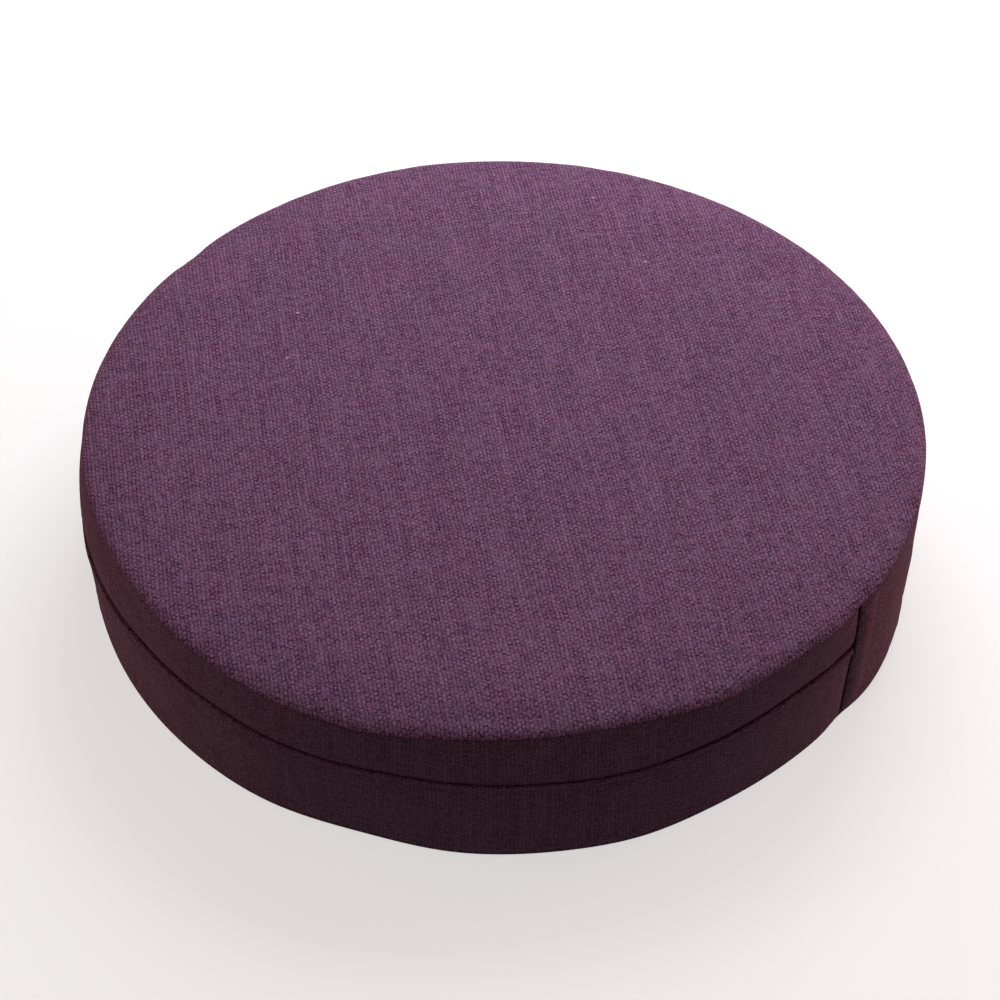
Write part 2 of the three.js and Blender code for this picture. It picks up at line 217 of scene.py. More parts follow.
@dataclass
class CushionForm:
    """The shape that all pieces share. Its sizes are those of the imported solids, but its slits are wider."""

    seam_radius: float = 200 * MM
    seam_height: float = 78 * MM
    crown_rise: float = 2.9 * MM
    crown_dome: float = 0.2 * MM
    rim_drop: float = 1.7 * MM
    rim_width: float = 2.3 * MM
    lip: float = 0.4 * MM
    crown_uneven: float = 0.5 * MM
    crown_turn: float = 40
    crown_third_wave: float = 0.6
    base_seam_radius: float = 200.6 * MM
    base_seam_height: float = 2.8 * MM
    base_flat_radius: float = 188 * MM
    base_shift: float = 1.0 * MM
    bulge_height: float = 0.6
    cloth: float = 2.2 * MM
    gap: float = 0.3 * MM
    closing_pinch: float = 1.3 * MM
    closing_spread: float = 7 * MM
    front_seam: float = 53.0
    seam_sway: float = 0.35
    sway_spread: float = 12 * MM
    seam_slit: float = 2.0 * MM
    seam_pinch: float = 1.4 * MM
    pinch_spread: float = 11 * MM
    edge_reach: float = 8 * MM
    measuring_step: float = 0.5
    offset: Vector = field(default_factory=lambda: Vector((0, 0)))

    def __post_init__(self) -> None:
        """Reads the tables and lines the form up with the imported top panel."""
        self.back_seam = self.front_seam - 180
        self.rise = RoundCurve(EDGE, 1)
        self.out = RoundCurve(EDGE, 2)
        self.bulge = RoundCurve(EDGE, 3)
        self.base_out = RoundCurve(EDGE, 4)
        self.roll = RoundCurve(EDGE, 5)
        self.drop = RoundCurve(CLOSING_LINE, 1)
        self.slit = RoundCurve(CLOSING_LINE, 2)
        turn = all_round(self.measuring_step)
        rim = self.place(turn, self.side_radius(turn, self.top_seam(turn)), self.top_seam(turn))
        low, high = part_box("top_panel")
        middle = (rim.max(axis=0) + rim.min(axis=0)) / 2
        self.offset = Vector(((low.x + high.x) / 2 - middle[0], (low.y + high.y) / 2 - middle[1]))

    def top_seam(self, azimuth: np.ndarray) -> np.ndarray:
        """Height of the top seam."""
        return self.seam_height + self.rise(azimuth)

    def closing_line(self, azimuth: np.ndarray) -> np.ndarray:
        """Height of the line where the flap ends and the upper strip begins."""
        return self.seam_height - self.drop(azimuth)

    def arc(self, seam: float, azimuth: np.ndarray) -> np.ndarray:
        """Distance along the top seam from an upright seam to an azimuth, the short way round."""
        turn = (azimuth - seam + 180) % 360 - 180
        return np.radians(turn) * self.seam_radius

    def closing_share(self, azimuth: np.ndarray) -> np.ndarray:
        """1 on the half of the boxing that has the closing line, fading out at its two ends."""
        inside = np.minimum(-self.arc(self.front_seam, azimuth), self.arc(self.back_seam, azimuth))
        return np.clip(inside / self.pinch_spread, 0, 1)

    def side_radius(self, azimuth: np.ndarray, height: np.ndarray) -> np.ndarray:
        """Radius of the boxing's outside before its edges turn in: it bulges, and every seam draws it in.

        Args:
            azimuth: places round the cushion, in degrees.
            height: heights above the floor.

        Returns:
            The radius at each place.
        """
        top = self.top_seam(azimuth)
        share = np.clip((height - self.base_seam_height) / (top - self.base_seam_height), 0, 1)
        base = self.base_seam_radius + self.base_out(azimuth)
        straight = lerp(base, self.seam_radius + self.out(azimuth), share)
        power = math.log(0.5) / math.log(self.bulge_height)
        bulge = self.bulge(azimuth) * np.sin(math.pi * share**power)
        line = hump(height - self.closing_line(azimuth), self.closing_spread)
        front = hump(self.arc(self.front_seam, azimuth), self.pinch_spread)
        back = hump(self.arc(self.back_seam, azimuth), self.pinch_spread)
        drawn_in = self.closing_pinch * self.closing_share(azimuth) * line + self.seam_pinch * (front + back)
        return straight + bulge - drawn_in

    def crown(self, azimuth: np.ndarray, share: np.ndarray) -> np.ndarray:
        """Height of the top surface: nearly flat over the middle, and rolled down to the seam.

        Args:
            azimuth: places round the cushion, in degrees.
            share: how far out they are, as a share of the radius.

        Returns:
            The height at each place.
        """
        turned = np.radians(azimuth)
        third = self.crown_third_wave * np.sin(3 * turned)
        waves = np.sin(2 * turned + math.radians(self.crown_turn)) + third
        inwards = (1 - share) * self.seam_radius
        soft = 1 - np.exp(-inwards / self.roll(azimuth))
        rim = 1 - np.exp(-inwards / self.rim_width)
        near = self.rise(azimuth) * hump(inwards, self.edge_reach)
        rise = self.crown_rise - self.crown_dome * share**2 + self.crown_uneven * share * waves
        return self.seam_height + near + self.lip + self.rim_drop * rim + rise * soft

    def seam_azimuth(self, azimuth: np.ndarray, height: np.ndarray) -> np.ndarray:
        """Moves azimuths on a strip with the sway of the upright seam that is near them.

        Args:
            azimuth: places round the cushion, in degrees.
            height: heights above the floor.

        Returns:
            The azimuths with the sway.
        """
        front, back = self.arc(self.front_seam, azimuth), self.arc(self.back_seam, azimuth)
        near = hump(front, self.sway_spread) + hump(back, self.sway_spread)
        return azimuth + self.seam_sway * near * np.cos(2 * math.pi * height / self.seam_height)

    def place(self, azimuth: np.ndarray, radius: np.ndarray, height: np.ndarray) -> np.ndarray:
        """Points in the frame. The cushion's lower part sits a little to the left of its top.

        Args:
            azimuth: degrees from the front.
            radius: distance from the upright axis.
            height: height above the floor.

        Returns:
            An array whose last axis is x, y and z.
        """
        turn = np.radians(azimuth)
        shift = self.base_shift * np.clip(1 - height / self.seam_height, 0, 1)
        x = radius * np.sin(turn) - shift + self.offset.x
        y = -radius * np.cos(turn) + self.offset.y
        return np.stack(np.broadcast_arrays(x, y, height), axis=-1)

    def on_axis(self, height: np.ndarray | float) -> np.ndarray:
        """The point on the upright axis at a height."""
        return self.place(np.array(0.0), np.array(0.0), np.asarray(height))

    def crown_middle(self) -> np.ndarray:
        """Height of the top surface on the upright axis."""
        return self.crown(np.array(0.0), np.array(0.0))


def rolled_in(distance: np.ndarray, roll: float, depth: float, width: float) -> np.ndarray:
    """How far a sewn edge turns inwards: a tight roll at the edge and a wide soft channel beside it.

    Args:
        distance: distance from the edge.
        roll: radius of the tight roll.
        depth: depth of the channel at the edge.
        width: width of the channel.

    Returns:
        The depth at each distance.
    """
    inside = np.clip(roll - distance, 0, roll)
    channel = depth * np.clip(1 - distance / width, 0, 1) ** 2
    return roll - np.sqrt(roll**2 - inside**2) + channel


def mesh_piece(name: str, points: np.ndarray, faces: list[tuple[int, ...]]) -> bpy.types.Object:
    """Makes one smooth-shaded mesh object.

    Args:
        name: name of the piece.
        points: its vertices, in the row frame.
        faces: vertex numbers of each face, turning left seen from outside.

    Returns:
        The object, linked to the scene.
    """
    mesh = bpy.data.meshes.new(name)
    mesh.from_pydata(points.reshape(-1, 3).tolist(), [], faces)
    mesh.shade_smooth()
    mesh.update()
    piece = bpy.data.objects.new(name, mesh)
    bpy.context.scene.collection.objects.link(piece)
    return piece


def ring_of(index: int, size: int, count: int) -> tuple[int, int]:
    """First vertex numbers of a column and of the next one, closed after the last."""
    return index * size, ((index + 1) % count) * size


def turned_piece(name: str, points: np.ndarray, top: np.ndarray, bottom: np.ndarray) -> bpy.types.Object:
    """Makes a closed form round the upright axis.

    Args:
        name: name of the piece.
        points: columns of points from beside the axis on top, out and back to beside the axis below.
        top: the point on the axis on top.
        bottom: the point on the axis below.

    Returns:
        The mesh object.
    """
    count, size = points.shape[:2]
    faces: list[tuple[int, ...]] = []
    top_index, bottom_index = count * size, count * size + 1
    for column in range(count):
        here, beside = ring_of(column, size, count)
        faces.append((top_index, here, beside))
        faces += [(here + k, here + k + 1, beside + k + 1, beside + k) for k in range(size - 1)]
        faces.append((here + size - 1, bottom_index, beside + size - 1))
    every = np.concatenate((points.reshape(-1, 3), top[None], bottom[None]))
    return mesh_piece(name, every, faces)


def strip_piece(name: str, outside: np.ndarray, inside: np.ndarray) -> bpy.types.Object:
    """Makes a bent strip of cloth, closed at both ends.

    Args:
        name: name of the piece.
        outside: columns of points up the outer face.
        inside: columns of points up the inner face, as many as outside.

    Returns:
        The mesh object.
    """
    loops = np.concatenate((outside, inside[:, ::-1]), axis=1)
    count, size = loops.shape[:2]
    faces: list[tuple[int, ...]] = []
    for column in range(count - 1):
        here, beside = ring_of(column, size, count)
        for k in range(size):
            after = (k + 1) % size
            faces.append((here + k, beside + k, beside + after, here + after))
    rows = size // 2
    last = (count - 1) * size
    for k in range(rows - 1):
        across, below = size - 1 - k, size - 2 - k
        faces.append((k, k + 1, below, across))
        faces.append((last + k, last + across, last + below, last + k + 1))
    return mesh_piece(name, loops, faces)


def vertex_array(mesh: bpy.types.Mesh, kind: str) -> np.ndarray:
    """Reads a value with three parts of every vertex of a mesh.

    Args:
        mesh: the mesh.
        kind: which value, "co" or "normal".

    Returns:
        The values, one vertex a row.
    """
    values = np.empty(len(mesh.vertices) * 3)
    mesh.vertices.foreach_get(kind, values)
    return values.reshape(-1, 3)


def dress(piece: bpy.types.Object, finish: bpy.types.Material, node: str) -> None:
    """Gives a piece its cloth and lets it ride and stand for its solid.

    Args:
        piece: the piece.
        finish: its material.
        node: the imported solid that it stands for.
    """
    piece.data.materials.append(finish)
    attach(piece, "root")
    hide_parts(node)
    LOG.info("%s: %d vertices, stands for %s", piece.name, len(piece.data.vertices), node)


@dataclass
class Filling:
    """The filled form inside the cover, plump under the cloth and held in at the seams."""

    form: CushionForm
    column_step: float = 1.5
    crown_rings: int = 24
    innermost: float = 0.04
    outermost: float = 0.94
    side_rows: int = 18

    def build(self) -> bpy.types.Object:
        """Builds the filled form, one closed solid with its crown, bulge and drawn-in seams.

        Returns:
            The mesh object.
        """
        form = self.form
        inset = form.cloth + form.gap
        turn = all_round(self.column_step)[:, None]
        top = form.top_seam(turn) - form.gap / 2
        bottom = form.base_seam_height + form.gap / 2
        edge = form.side_radius(turn, form.top_seam(turn))
        share = np.linspace(self.innermost, self.outermost, self.crown_rings)[None]
        crown = form.place(turn, share * edge, form.crown(turn, share) - inset)
        height = lerp(top, bottom, np.linspace(0, 1, self.side_rows)[None])
        side = form.place(turn, form.side_radius(turn, height) - inset, height)
        flat = form.place(turn, np.full_like(turn, form.base_flat_radius), np.full_like(turn, inset))
        points = np.concatenate((crown, side, flat), axis=1)
        top_point, bottom_point = form.on_axis(form.crown_middle() - inset), form.on_axis(inset)
        return turned_piece("filled_form", points, top_point, bottom_point)


@dataclass
class Plumpness:
    """How the filling's pressure puffs the cover out between its seams, found with a cloth simulation."""

    form: CushionForm
    voxel: float = 6 * MM
    slimming: float = 0.8 * MM
    most: float = 1.6 * MM
    seam_reach: float = 9 * MM
    pressure: float = 4.0
    frames: int = 20
    neighbours: int = 4
    blending: float = 1 * MM

    def __post_init__(self) -> None:
        """Starts with a form that isn't puffed out yet."""
        self.tree: KDTree | None = None
        self.shifts = np.zeros((0, 3))

    def freedom(self, points: np.ndarray) -> np.ndarray:
        """0 on a seam and under the cushion, 1 where the cloth is free to puff out.

        Args:
            points: points of the filled form, one a row.

        Returns:
            The freedom of each.
        """
        form = self.form
        x, y, height = points[:, 0] - form.offset.x, points[:, 1] - form.offset.y, points[:, 2]
        azimuth, radius = np.degrees(np.arctan2(x, -y)), np.hypot(x, y)
        top = form.top_seam(azimuth)
        from_top = np.hypot(form.seam_radius - radius, top - height)
        from_line = np.abs(height - form.closing_line(azimuth))
        closing = np.where(form.closing_share(azimuth) > 0, from_line, math.inf)
        front, back = form.arc(form.front_seam, azimuth), form.arc(form.back_seam, azimuth)
        upright = np.minimum(np.abs(front), np.abs(back))
        base = np.clip(height - form.base_seam_height, 0, None)
        on_side = np.minimum.reduce((from_top, closing, upright, base))
        return ease(np.where(height > top, from_top, on_side) / self.seam_reach)

    def even_grid(self, filling: bpy.types.Object) -> bpy.types.Object:
        """Copies the filled form into a new object with an even grid.

        Args:
            filling: the filled form.

        Returns:
            The new object.
        """
        copy = bpy.data.objects.new("pressed_form", filling.data.copy())
        bpy.context.scene.collection.objects.link(copy)
        remesh = copy.modifiers.new("even_grid", "REMESH")
        remesh.mode = "VOXEL"
        remesh.voxel_size = self.voxel
        grid = bpy.data.meshes.new_from_object(copy.evaluated_get(bpy.context.evaluated_depsgraph_get()))
        copy.modifiers.clear()
        copy.data = grid
        return copy

    def press(self, pad: bpy.types.Object, pinned: np.ndarray) -> np.ndarray:
        """Puffs a form out with cloth pressure, held at its seams.

        Args:
            pad: the form.
            pinned: how firmly each vertex is held, 0 to 1.

        Returns:
            Where its vertices end.
        """
        seams = pad.vertex_groups.new(name="seams")
        for index in np.flatnonzero(pinned > 0).tolist():
            seams.add([index], float(pinned[index]), "REPLACE")
        cloth = pad.modifiers.new("pressure", "CLOTH")
        cloth.settings.use_pressure = True
        cloth.settings.uniform_pressure_force = self.pressure
        cloth.settings.effector_weights.gravity = 0
        cloth.settings.vertex_group_mass = seams.name
        cloth.collision_settings.use_collision = False
        cloth.point_cache.frame_end = self.frames
        scene = bpy.context.scene
        for frame_number in range(1, self.frames + 1):
            scene.frame_set(frame_number)
        pressed = pad.evaluated_get(bpy.context.evaluated_depsgraph_get())
        points = vertex_array(pressed.data, "co")
        scene.frame_set(1)
        return points

    def simulate(self, filling: bpy.types.Object) -> None:
        """Finds how far each part of the form puffs out, starting from a slightly slimmer one.

        Args:
            filling: the filled form.
        """
        pad = self.even_grid(filling)
        full, normals = vertex_array(pad.data, "co"), vertex_array(pad.data, "normal")
        free = self.freedom(full)
        start = full - normals * (self.slimming * free)[:, None]
        pad.data.vertices.foreach_set("co", start.ravel())
        pressed = self.press(pad, 1 - free)
        puffed = ((pressed - start) * normals).sum(axis=1)
        held = self.most * np.tanh(puffed / self.most)
        self.shifts = normals * ((held - self.slimming) * free)[:, None]
        self.tree = KDTree(len(full))
        for index, point in enumerate(full):
            self.tree.insert(point, index)
        self.tree.balance()
        bpy.data.objects.remove(pad)
        moved = (held - self.slimming) * free
        LOG.info("pressure moved the form by %.2f to %.2f mm", moved.min() / MM, moved.max() / MM)

    def move(self, piece: bpy.types.Object) -> None:
        """Moves a piece with the form that it lies on.

        Args:
            piece: the filled form itself or a piece of the cover.
        """
        if self.tree is None:
            return
        points = vertex_array(piece.data, "co")
        shifts = np.zeros_like(points)
        for index, point in enumerate(points):
            near = self.tree.find_n(point, self.neighbours)
            weights = np.array([1 / (distance + self.blending) for _, _, distance in near])
            shifts[index] = weights @ self.shifts[[number for _, number, _ in near]] / weights.sum()
        piece.data.vertices.foreach_set("co", (points + shifts).ravel())
        piece.data.update()


@dataclass
class TopPanel:
    """The round top cloth, stretched over the filling and rolled over its edge to the top seam."""

    form: CushionForm
    column_step: float = 0.75
    middle_rings: int = 26
    innermost: float = 0.03
    outermost: float = 0.9
    gather_depth: float = 0.1 * MM
    gather_reach: float = 7 * MM
    gather_start: float = 2 * MM
    overhang: float = 0.2 * MM
    overhang_reach: float = 4 * MM
    roll_over: float = 3 * MM

    # Rings of the face near the edge, by distance from it in millimetres
    RINGS_FROM_EDGE = (
        np.array([17, 14, 11.5, 9.5, 8, 6.6, 5.4, 4.4, 3.5, 2.7, 2.0, 1.4, 0.9, 0.5, 0.2, 0.05, 0]) * MM
    )
    # The turned-under edge: millimetres out from the side, and up from the seam
    TURNED_UNDER = np.array([(0.2, 0.3), (0.08, 0.12), (-0.2, 0.02), (-0.6, 0), (-1.1, 0), (-3.3, 0)]) * MM
    # Rings of the underside, as shares of the radius
    LINING_RINGS = (0.94, 0.9, 0.8, 0.65, 0.45, 0.2)
    GATHERS = Gathers(3)

    def build(self) -> bpy.types.Object:
        """Builds the cloth as one closed sheet with its turned-under edge.

        Returns:
            The mesh object.
        """
        form = self.form
        turn = all_round(self.column_step)[:, None]
        edge = form.side_radius(turn, form.top_seam(turn))
        middle = np.linspace(self.innermost, self.outermost, self.middle_rings)
        share = np.concatenate((middle, 1 - self.RINGS_FROM_EDGE / form.seam_radius))[None]
        inwards = (1 - share) * form.seam_radius
        gathers = self.GATHERS(turn, form.seam_radius) * np.exp(-inwards / self.gather_reach)
        height = form.crown(turn, share) + self.gather_depth * gathers * ease(inwards / self.gather_start)
        proud = self.overhang * ease(1 - inwards / self.overhang_reach)
        face = form.place(turn, share * edge + proud, height)
        low = form.top_seam(turn) + form.gap / 2
        rim = np.concatenate([form.place(turn, edge + r, low + z) for r, z in self.TURNED_UNDER], axis=1)
        inner = np.array(self.LINING_RINGS)[None]
        lining = form.place(turn, inner * edge, form.crown(turn, inner) - form.cloth)
        points = np.concatenate((face, rim, lining), axis=1)
        middle_height = form.crown_middle()
        top_point, bottom_point = form.on_axis(middle_height), form.on_axis(middle_height - form.cloth)
        return turned_piece("top_cloth", points, top_point, bottom_point)

    def declare(self, piece: bpy.types.Object) -> None:
        """Does nothing. The piece was cut from a disc with no seam allowance."""


@dataclass
class BasePanel:
    """The round cloth under the cushion, flat on the floor and curved up to the lower seam."""

    form: CushionForm
    column_step: float = 1.5
    middle_ring: float = 0.5
    curve_up: float = 2 * MM

    # The turned edge, from the seam down: millimetres in from the side, and down from the seam
    LIP = np.array([(1.1, 0), (1.0, 0.15), (0.9, 0.6), (0.9, 1.2)]) * MM
    # Rings of the curve down to the flat middle, as shares of the way out from it
    CURVE_RINGS = (0.85, 0.7, 0.55, 0.4, 0.25, 0.12)

    def build(self) -> bpy.types.Object:
        """Builds the cloth as one closed sheet.

        Returns:
            The mesh object.
        """
        form = self.form
        turn = all_round(self.column_step)[:, None]
        radius = form.side_radius(turn, np.full_like(turn, form.base_seam_height))
        edge = form.base_seam_height - form.gap / 2
        flat = form.base_flat_radius
        flat_ring, middle_ring = np.full_like(radius, flat), np.full_like(radius, flat * self.middle_ring)
        profile = [
            (middle_ring, form.cloth),
            (flat_ring, form.cloth),
            (radius - self.LIP[0, 0] - form.cloth, edge),
        ]
        profile += [(radius - inwards, edge - down) for inwards, down in self.LIP]
        lip_radius, lip_height = profile[-1]
        for share in self.CURVE_RINGS:
            curve = 1 - math.cos(share * math.pi / 2)
            profile.append((lerp(flat, lip_radius, share), lip_height * curve))
        profile += [(flat_ring, 0.0), (middle_ring, 0.0)]
        rings = [form.place(turn, ring, np.full_like(ring, height)) for ring, height in profile]
        points = np.concatenate(rings, axis=1)
        return turned_piece("base_cloth", points, form.on_axis(form.cloth), form.on_axis(0.0))

    def declare(self, piece: bpy.types.Object) -> None:
        """Does nothing. The piece was cut from a disc with no seam allowance."""


@dataclass
class Boxing:
    """The cloth round the side: two strips that meet at the closing line, and one plain strip behind."""

    form: CushionForm
    column_step: float = 0.75
    row_step: float = 2.4 * MM
    roll: float = 0.7 * MM
    channel: float = 0.5 * MM
    channel_width: float = 3.6 * MM
    end_roll: float = 0.9 * MM
    end_channel: float = 0.4 * MM
    dive: float = 1.0 * MM
    dive_reach: float = 5.5 * MM
    fold: float = 0.4 * MM
    undercut: float = 1.2
    end_undercut: float = 2.6 * MM
    undercut_reach: float = 6 * MM
    flap_rise: float = 0.9 * MM
    flap_stitch: float = 3.4 * MM
    stitch_width: float = 1.4 * MM
    stitch_depth: float = 0.35 * MM
    puff: float = 1.2 * MM
    puff_distance: float = 7 * MM
    puff_spread: float = 5 * MM
    gather_depth: float = 0.15 * MM
    gather_reach: float = 9 * MM
    wave_depth: float = 0.25 * MM
    wave_lean: float = 40
    wave_start: float = 6 * MM
    thinnest: float = 0.2 * MM
    fewest_rows: int = 3
    mean_bulge: float = 2 * MM
    measuring_step: float = 1.0

    TOP_GATHERS = Gathers(11)
    BASE_GATHERS = Gathers(12)
    SLACK_WAVES = Gathers(21, 30 * MM, 90 * MM, 6)
    # Rows beside a seam and below the flap's fold, by distance from it in millimetres
    EDGE_ROWS = np.array([0, 0.15, 0.35, 0.6, 0.9, 1.4, 2.0, 2.8, 3.6]) * MM
    FLAP_ROWS = np.array([0, 0.12, 0.3, 0.5, 0.9, 1.4, 1.9, 2.4, 2.8, 3.2, 3.6, 4.0, 4.5, 5.2, 6.2]) * MM

    def columns(self, start: float, end: float) -> tuple[np.ndarray, np.ndarray]:
        """Azimuths of a strip's columns from one upright seam to the next.

        Args:
            start: azimuth of the seam where it starts.
            end: azimuth of the seam where it ends.

        Returns:
            The azimuths, and each one's distance from the nearer end of the cloth.
        """
        form = self.form
        beside = np.degrees(self.EDGE_ROWS + form.seam_slit / 2) / form.seam_radius
        count = round((end - start - 2 * beside[-1]) / self.column_step)
        middle = np.linspace(start + beside[-1], end - beside[-1], count + 1)[1:-1]
        azimuth = np.concatenate((start + beside, middle, (end - beside)[::-1]))
        from_start = np.radians(azimuth - start) * form.seam_radius
        from_end = np.radians(end - azimuth) * form.seam_radius
        return azimuth[:, None], (np.minimum(from_start, from_end) - form.seam_slit / 2)[:, None]

    def rows(self, bottom: np.ndarray, top: np.ndarray, flap: bool) -> np.ndarray:
        """Heights of a strip's rows, fine beside its edges and along the flap's stitches.

        Args:
            bottom: heights of its lower edge.
            top: heights of its upper edge.
            flap: whether the upper edge is the flap's fold.

        Returns:
            The heights, a column of the strip in each row of the array.
        """
        below_top = self.FLAP_ROWS if flap else self.EDGE_ROWS
        low, high = bottom + self.EDGE_ROWS[-1], top - below_top[-1]
        count = max(self.fewest_rows, round(float((high - low).mean()) / self.row_step))
        between = lerp(low, high, np.linspace(0, 1, count)[None, 1:-1])
        return np.concatenate((bottom + self.EDGE_ROWS[None], between, top - below_top[None, ::-1]), axis=1)

    def flap_relief(self, below: np.ndarray) -> np.ndarray:
        """How far the doubled flap stands out, down to the stitches that hold it.

        Args:
            below: distances below its folded edge.

        Returns:
            The relief at each distance.
        """
        past_fold = (below - self.flap_stitch + self.stitch_width) / self.stitch_width
        doubled = self.flap_rise * (1 - ease(past_fold))
        fold = rolled_in(below, self.fold, 0.0, self.channel_width)
        stitched = self.stitch_depth * hump(below - self.flap_stitch, self.stitch_width / 2)
        return doubled - fold - stitched

    def outline(self, strip: Strip, azimuth: np.ndarray) -> tuple[np.ndarray, np.ndarray]:
        """Finds where a strip's lower and upper edge run.

        Args:
            strip: which strip it is.
            azimuth: places round the cushion, in degrees.

        Returns:
            The height of the lower edge and of the upper edge at each place.
        """
        form = self.form
        seam_below = np.full_like(azimuth, form.base_seam_height) + form.gap / 2
        seam_above = form.top_seam(azimuth) - form.gap / 2
        if strip is Strip.UPPER:
            return form.closing_line(azimuth) + form.slit(azimuth) / 2, seam_above
        if strip is Strip.LOWER:
            return seam_below, form.closing_line(azimuth) - form.slit(azimuth) / 2
        return seam_below, seam_above

    def relief(self, strip: Strip, azimuth: np.ndarray, height: np.ndarray, end: np.ndarray) -> np.ndarray:
        """How far the outside stands out past the plain side.

        Args:
            strip: which strip it is.
            azimuth: azimuths of its columns.
            height: heights of its points.
            end: distance of each column from the nearer end.

        Returns:
            The relief of each point.
        """
        form = self.form
        bottom, top = self.outline(strip, azimuth)
        above, below = height - bottom, top - height
        sewn = {Strip.UPPER: below, Strip.LOWER: above, Strip.PLAIN: np.minimum(above, below)}[strip]
        nearest = np.minimum(sewn, end)
        at_seam = rolled_in(sewn, self.roll, self.channel, self.channel_width)
        at_end = rolled_in(end, self.end_roll, self.end_channel, self.channel_width)
        relief = -np.maximum(at_seam, at_end)
        seam_gathers = self.TOP_GATHERS(azimuth, form.seam_radius) * np.exp(-below / self.gather_reach)
        base_gathers = self.BASE_GATHERS(azimuth, form.seam_radius) * np.exp(-above / self.gather_reach)
        if strip is Strip.UPPER:
            dive = self.dive * np.clip(1 - above / self.dive_reach, 0, 1) ** 2
            relief = np.maximum(relief - dive, self.thinnest - form.cloth)
            relief = relief + self.gather_depth * seam_gathers
        elif strip is Strip.LOWER:
            relief = relief + self.flap_relief(below) + self.gather_depth * base_gathers
        else:
            level = np.clip(np.minimum(above, below) / self.puff_distance, 0, 1)
            front = hump(form.arc(form.front_seam, azimuth) - self.puff_distance, self.puff_spread)
            back = hump(form.arc(form.back_seam, azimuth) + self.puff_distance, self.puff_spread)
            relief = relief + self.puff * level * (front + back)
            relief = relief + self.gather_depth * (seam_gathers + base_gathers)
        leaning = azimuth + self.wave_lean * height / form.seam_height
        slack = self.SLACK_WAVES(leaning, form.seam_radius)
        inside = np.clip(nearest / self.wave_start, 0, 1)
        return relief + self.wave_depth * slack * inside

    def near_edge(self, distance: np.ndarray) -> np.ndarray:
        """1 at an edge, fading out over the cloth whose inside is cut back so that the slit stays dark."""
        return np.clip(1 - distance / self.undercut_reach, 0, 1)

    def build(self, strip: Strip) -> bpy.types.Object:
        """Builds one strip as a closed sheet, cut back on the inside where a slit has to stay dark.

        Args:
            strip: which strip it is.

        Returns:
            The mesh object.
        """
        form = self.form
        start, end = form.back_seam, form.front_seam
        if strip is Strip.PLAIN:
            start, end = form.front_seam, form.back_seam + 360
        azimuth, from_end = self.columns(start, end)
        bottom, top = self.outline(strip, azimuth)
        height = self.rows(bottom, top, strip is Strip.LOWER)
        swayed = form.seam_azimuth(azimuth, height)
        side = form.side_radius(azimuth, height)
        outside = form.place(swayed, side + self.relief(strip, azimuth, height, from_end), height)
        turned, lowered = swayed, height
        if strip is Strip.PLAIN:
            inwards = np.sign((start + end) / 2 - azimuth) * self.near_edge(from_end) * self.end_undercut
            turned = swayed + np.degrees(inwards / form.seam_radius)
        elif strip is Strip.LOWER:
            lowered = height - self.near_edge(top - height) * self.undercut * form.slit(azimuth)
        inside = form.place(turned, side - form.cloth, lowered)
        return strip_piece(strip.value[0], outside, inside)

    def declare(self, strip: Strip, piece: bpy.types.Object) -> None:
        """Finds where a strip's edges run all round, and which half has the closing line, but keeps none of
        it.
        The strip was cut its mean height tall and half the way round.

        Args:
            strip: which strip it is.
            piece: its mesh object; not used.
        """
        form = self.form
        turn = all_round(self.measuring_step)
        inside = form.closing_share(turn) > 0
        bottom, top = self.outline(strip, turn)


def linear(colour: str) -> tuple[float, float, float, float]:
    """Turns an sRGB hex value into the linear colour that shaders use, by the curve of the sRGB standard.

    Args:
        colour: the value, with its hash sign.

    Returns:
        Red, green, blue and an alpha of 1.
    """
    parts = [int(colour[k : k + 2], 16) / 255 for k in (1, 3, 5)]
    red, green, blue = (p / 12.92 if p <= 0.04045 else ((p + 0.055) / 1.055) ** 2.4 for p in parts)
    return red, green, blue, 1.0


def add_node(
    tree: Tree, kind: str, inputs: dict[str | int, object], output: int = 0, **settings: object
) -> Socket:
    """Adds one node with its settings and links.

    Args:
        tree: the node tree.
        kind: the node's type.
        inputs: a value or another node's output for each input, by name or number.
        output: number of the output that is wanted.
        settings: the node's own settings.

    Returns:
        That output, or the node's first input where it has no output.
    """
    added = tree.nodes.new(kind)
    for name, value in settings.items():
        setattr(added, name, value)
    for key, value in inputs.items():
        if isinstance(value, Socket):
            tree.links.new(value, added.inputs[key])
        else:
            added.inputs[key].default_value = value
    return added.outputs[output] if added.outputs else added.inputs[0]


